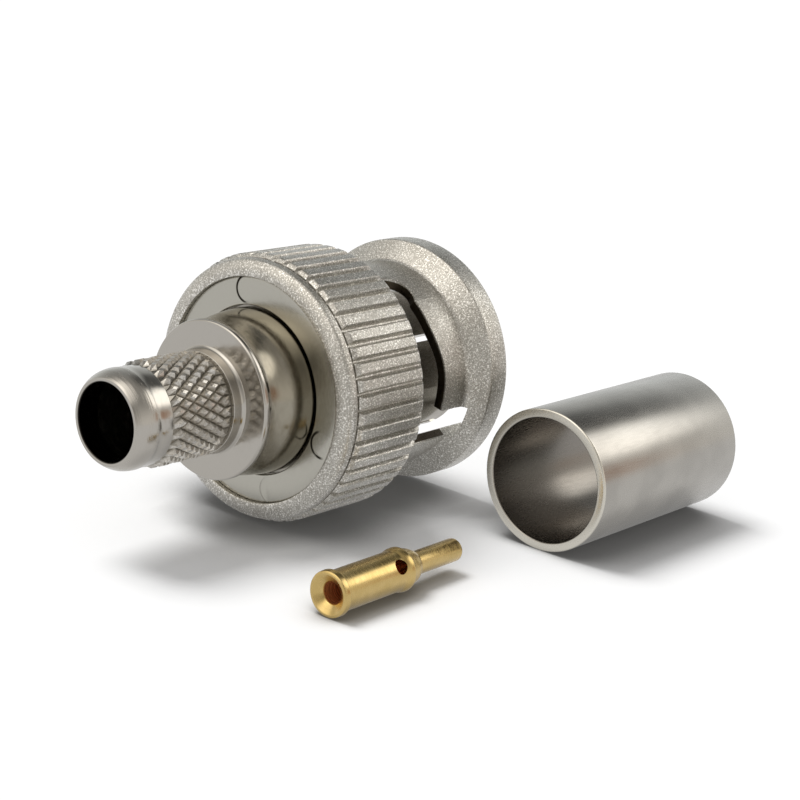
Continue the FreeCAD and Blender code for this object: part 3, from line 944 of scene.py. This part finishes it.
# painted shade: the stem's bore behind the lip is painted nearly black
inside = lip * radius.rise((STEM_BORE_R + 0.03) * MM, (STEM_BORE_R + 0.08) * MM, 1, 0)
# painted shade: the barrel in front of the head's rim is painted darker and browner
barrel = along.rise((RIM_FRONT - 0.02) * MM, (RIM_FRONT + 0.3) * MM)
barrel = barrel * radius.rise((SLEEVE_R + 0.05) * MM, (SLEEVE_R + 0.1) * MM)
nick = between(along, RIM_FRONT - 0.06, RIM_FRONT + 0.1, 0.04)
nick = nick * r.noise(at, 1.1, 3.0).rise(0.52, 0.62)
tone = r.mix(barrel, NICKEL, BARREL_SHADE)
tone = r.mix(nick, tone, DARK_SCRATCH)
surface(r, {
    "Base Color": r.mix(inside, tone, STEM_BORE_SHADE),
    "Metallic": 1.0,
    "Roughness": scuffs.rise(0.4, 0.75, 0.13, 0.24) + lip * 0.05,
    "Normal": r.bump(scuffs + turned * lip * 12.0, 0.15, 0.006),
})
for shiny in [body, sleeve]:
    painted(shiny, bright)
print(bright.name, len(bright.node_tree.nodes), "nodes")

# %% [markdown]
# Knurling presses the metal rather than cutting it, so the diamonds are duller than the
# turned faces, and the valleys between them are painted darker, a painted shade. The
# depth in the valley is known from the distance to the axis, so that drives the colour.

# %% Dull nickel for the diamond knurl
PRESSED_NICKEL = (0.46, 0.435, 0.395, 1)
RUBBED_NICKEL = (0.66, 0.635, 0.59, 1)
VALLEY_SHADE = (0.33, 0.31, 0.272, 1)

dull, r = material("dull_nickel")
at = r.place()
grain = r.noise(at, 10.0, 3.0, 0.6)
worked = r.mix(grain.rise(0.35, 0.65), PRESSED_NICKEL, RUBBED_NICKEL)
# painted shade: the valleys are painted darker by their depth
above = from_line(r, at).rise((VALLEY_R + 0.01) * MM, (VALLEY_R + 0.1) * MM)
surface(r, {
    "Base Color": r.mix(above, VALLEY_SHADE, worked),
    "Metallic": 1.0,
    "Roughness": grain.rise(0.3, 0.7, 0.36, 0.26),
    "Normal": r.bump(grain, 0.3, 0.01),
})
painted(grip, dull)
print(dull.name, len(dull.node_tree.nodes), "nodes")

# %% [markdown]
# The contact is plated with thin gold over turned brass: darker than jewellery, with
# faint tool lines round it. Its bore is hardly plated and looks copper red. The bore
# could have a material of its own, but it is one plated part, so the distance from its
# axis picks the colour.

# %% Gold for the centre contact
DEEP_GOLD = (0.56, 0.405, 0.155, 1)
PALE_GOLD = (0.62, 0.455, 0.19, 1)
COPPER_RED = (0.62, 0.07, 0.015, 1)
BORE_END = -15.2
CONTACT_AXIS = (
    math.cos(math.radians(CONTACT_HEADING)), math.sin(math.radians(CONTACT_HEADING)), 0)

gold, r = material("gold_plate")
at = r.place()
bored = from_line(r, at, in_metres(CONTACT_PLACE), CONTACT_AXIS)
bored = bored.rise((CONTACT_BORE_R - 0.03) * MM, (CONTACT_BORE_R + 0.03) * MM, 1, 0)
bored = bored * along_axis(r, at).rise(BORE_END * MM, (BORE_END + 0.2) * MM, 1, 0)
plated = 1 - bored
tool_lines = r.noise(r.stretched(at, 1, 0.1, 0.1), 12.0, 2.0)
skin = r.mix(r.noise(at, 1.5).rise(0.3, 0.7), DEEP_GOLD, PALE_GOLD)
surface(r, {
    "Base Color": r.mix(plated, COPPER_RED, skin),
    "Metallic": plated,
    "Roughness": tool_lines.rise(0.3, 0.7, 0.3, 0.2),
    "Normal": r.bump(tool_lines, 0.06, 0.006),
})
painted(contact, gold)
print(gold.name, len(gold.node_tree.nodes), "nodes")

# %% [markdown]
# The bush is white plastic, the gasket black rubber, and the two spring rings are plain
# steel strip. They hardly show, so flat colours would nearly do. But no real surface is
# quite even, so each colour varies a little, over a fine bump.

# %% White plastic, rubber and spring steel
STEEL = (0.5, 0.47, 0.42, 1)
PALE_STEEL = (0.6, 0.57, 0.52, 1)

plastic, r = material("white_plastic")
at = r.place()
surface(r, {
    "Base Color": r.mix(r.noise(at, 1.2).rise(0.3, 0.7), grey(0.82), grey(0.88)),
    "Roughness": 0.45,
    "Normal": r.bump(r.noise(at, 6.0), 0.1, 0.01),
})
painted(bush, plastic)

rubber, r = material("soft_rubber")
at = r.place()
surface(r, {
    "Base Color": r.mix(r.noise(at, 2.0).rise(0.3, 0.7), grey(0.045), grey(0.06)),
    "Roughness": 0.6,
    "Normal": r.bump(r.noise(at, 6.0), 0.2, 0.02),
})
painted(seal, rubber)

steel, r = material("spring_steel")
at = r.place()
cloud = r.noise(at, 1.0)
surface(r, {
    "Base Color": r.mix(cloud.rise(0.3, 0.7), STEEL, PALE_STEEL),
    "Metallic": 1.0,
    "Roughness": 0.3,
    "Normal": r.bump(r.noise(at, 5.0), 0.15, 0.01),
})
for hidden in [spring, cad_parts["thrust_washer"]]:
    painted(hidden, steel)
for made in [plastic, rubber, steel]:
    print(made.name, len(made.node_tree.nodes), "nodes")

# %% [markdown]
# The photograph was taken on white paper. A plane with a plain white shader would turn
# grey in the distance. So the paper scatters the light and glows a little for the
# camera and for reflections, and both fade where something stands close above it,
# which keeps the dark seam under each piece. A light tent brightens the paper from all
# sides, also under the pieces, so mirrored rays see an evener paper than the camera.

# %% The paper
PAPER_R = 3.0
SEAM_REACH = 4.5
PAPER_WHITE = grey(0.92)
GLOW = 0.08
MIRRORED_PAPER = 0.75
MIRROR_SHARE = 0.7

floor_mesh = bmesh.new()
bmesh.ops.create_circle(
    floor_mesh, cap_ends=True, segments=96, radius=PAPER_R,
    matrix=Matrix.Translation((0, 0, FLOOR_Z * MM)))
floor = piece("floor", floor_mesh)

paper, r = material("white_paper")
shown = r.rays("Camera") + r.rays("Glossy") + r.rays("Transmission")
open_sky = r.node(
    "ShaderNodeAmbientOcclusion", {"samples": 16}, {"Distance": SEAM_REACH * MM}, "AO")
near = open_sky.rise(0.3, 0.95, 0.3, 1.0)
lit = r.node("ShaderNodeBsdfDiffuse", {}, {"Color": r.mix(near, grey(0.0), PAPER_WHITE)})
glow = r.node("ShaderNodeEmission", {}, {"Color": grey(1.0), "Strength": shown * near * GLOW})
both = r.node("ShaderNodeAddShader", {}, {0: lit, 1: glow})
evened = r.mix(open_sky.rise(0.0, 0.9, 0.5, 1.0), grey(0.0), grey(1.0))
even = r.node("ShaderNodeEmission", {}, {"Color": evened, "Strength": MIRRORED_PAPER})
sheet = r.node(
    "ShaderNodeMixShader", {}, {0: r.rays("Glossy") * MIRROR_SHARE, 1: both, 2: even})
r.node("ShaderNodeOutputMaterial", {}, {"Surface": sheet})
painted(floor, paper)
print(paper.name, len(paper.node_tree.nodes), "nodes")

# %% [markdown]
# Metal looks like what it mirrors, so the room matters more than the lamp. It could be
# built from lamps and cards, but soft round patches on the world's sphere are simpler
# to place: each has a strength, and in degrees a bearing, a height, a size and a
# softness. There is a bright one at the right, a broad one behind at the left, one
# overhead, and darker ones between them, which take light away. Only mirrored rays see
# the patches. The camera sees plain white.

# %% The room
SOFT_LIGHT = 0.46
HORIZON = 0.9
OVERHEAD = 0.4
PATCHES = [
    (1.9, -31, 34, 14, 6),
    (1.1, 152, 45, 26, 12),
    (0.9, -170, 62, 24, 12),
    (-0.3, 8, 47, 15, 9),
    (-0.3, -140, 10, 22, 12),
    (-0.3, -47, 8, 7, 3),
]
COOL_SIDE = (40, 8, 50, 30)
BROWN_SPOT = (-47, 8, 7, 3)
WARM_WHITE = (1.0, 0.965, 0.91, 1)
COOL_WHITE = (0.97, 1.0, 1.0, 1)
BROWN = (0.9, 0.6, 0.45, 1)

world = bpy.data.worlds.new("studio")
bpy.context.scene.world = world
world.use_nodes = True
r = Recipe(world.node_tree)
direction = r.node("ShaderNodeTexCoord", {}, {}, "Generated")


def heading(azimuth, elevation):
    """A direction from its bearing about +Z and its height, in degrees."""
    flat = math.cos(math.radians(elevation))
    bearing = math.radians(azimuth)
    return Vector((
        flat * math.cos(bearing), flat * math.sin(bearing), math.sin(math.radians(elevation))))


def patch(azimuth, elevation, size_deg, soft_deg):
    """How much a direction looks into a round soft patch of the studio."""
    facing = r.vectors("DOT_PRODUCT", direction, tuple(heading(azimuth, elevation)), output="Value")
    edge = math.cos(math.radians(size_deg + soft_deg))
    core = math.cos(math.radians(max(size_deg - soft_deg, 0)))
    return facing.rise(edge, core)


height = r.node("ShaderNodeSeparateXYZ", {}, {0: direction}, "Z")
level = height.rise(0.05, 0.8, HORIZON, OVERHEAD)
for strength, *where in PATCHES:
    level = level + strength * patch(*where)
room = r.mix(patch(*COOL_SIDE), WARM_WHITE, COOL_WHITE)
room = r.mix(patch(*BROWN_SPOT), room, BROWN)
mirrored = r.rays("Glossy")
studio = r.mix_numbers(mirrored, SOFT_LIGHT, level)
plain = r.mix_numbers(r.rays("Camera") + r.rays("Transmission"), studio, 1.0)
paint = r.mix(mirrored, grey(1.0), room)
back = r.node("ShaderNodeBackground", {}, {"Color": paint, "Strength": plain})
r.node("ShaderNodeOutputWorld", {}, {"Surface": back})
print(world.name, len(world.node_tree.nodes), "nodes")

# %% [markdown]
# The photograph's shadows fall to the lower right and have soft edges. One wide sun
# from behind at the left gives them. An area lamp would do as well, but a sun lights
# every view alike. Reflections don't see it, because the room already has its lights.

# %% The lamp
LAMP_STRENGTH = 2.1
LAMP_WIDTH = math.radians(26)
LAMP_FROM = heading(98, 64)

lamp = bpy.data.lights.new("soft_lamp", "SUN")
lamp.energy = LAMP_STRENGTH
lamp.angle = LAMP_WIDTH
key = bpy.data.objects.new("soft_lamp", lamp)
bpy.context.scene.collection.objects.link(key)
key.rotation_mode = "QUATERNION"
key.rotation_quaternion = LAMP_FROM.to_track_quat("Z", "Y")
key.visible_glossy = False
print("lamp strength:", lamp.energy)

# %% [markdown]
# The camera's place and lens come from a fit to the rims of the three pieces in the
# photograph. It could be aimed by eye, but with the fit each piece falls on its own
# outline, so what differs is the model and not the view.

# %% The camera
SENSOR_WIDTH = 36.0
FOCAL_LENGTH = 83.925
CAMERA_PLACE = (-0.083964, -0.067171, 0.02706)

camera_data = bpy.data.cameras.new("camera")
camera_data.sensor_width = SENSOR_WIDTH
camera_data.lens = FOCAL_LENGTH
camera_data.clip_start = 0.005
camera_data.clip_end = 20.0
camera = bpy.data.objects.new("camera", camera_data)
bpy.context.scene.collection.objects.link(camera)
right = Vector((0.64302, -0.76209, 0.07577))
up = Vector((0.1582, 0.22897, 0.96049))
backward = Vector((-0.74933, -0.60563, 0.2678))
camera.matrix_world = (
    Matrix.Translation(CAMERA_PLACE)
    @ Matrix((right, up, backward)).transposed().to_4x4())
bpy.context.scene.camera = camera
bpy.context.scene.view_settings.view_transform = "Standard"
print("camera at", [round(c / MM, 1) for c in camera.location], "mm")
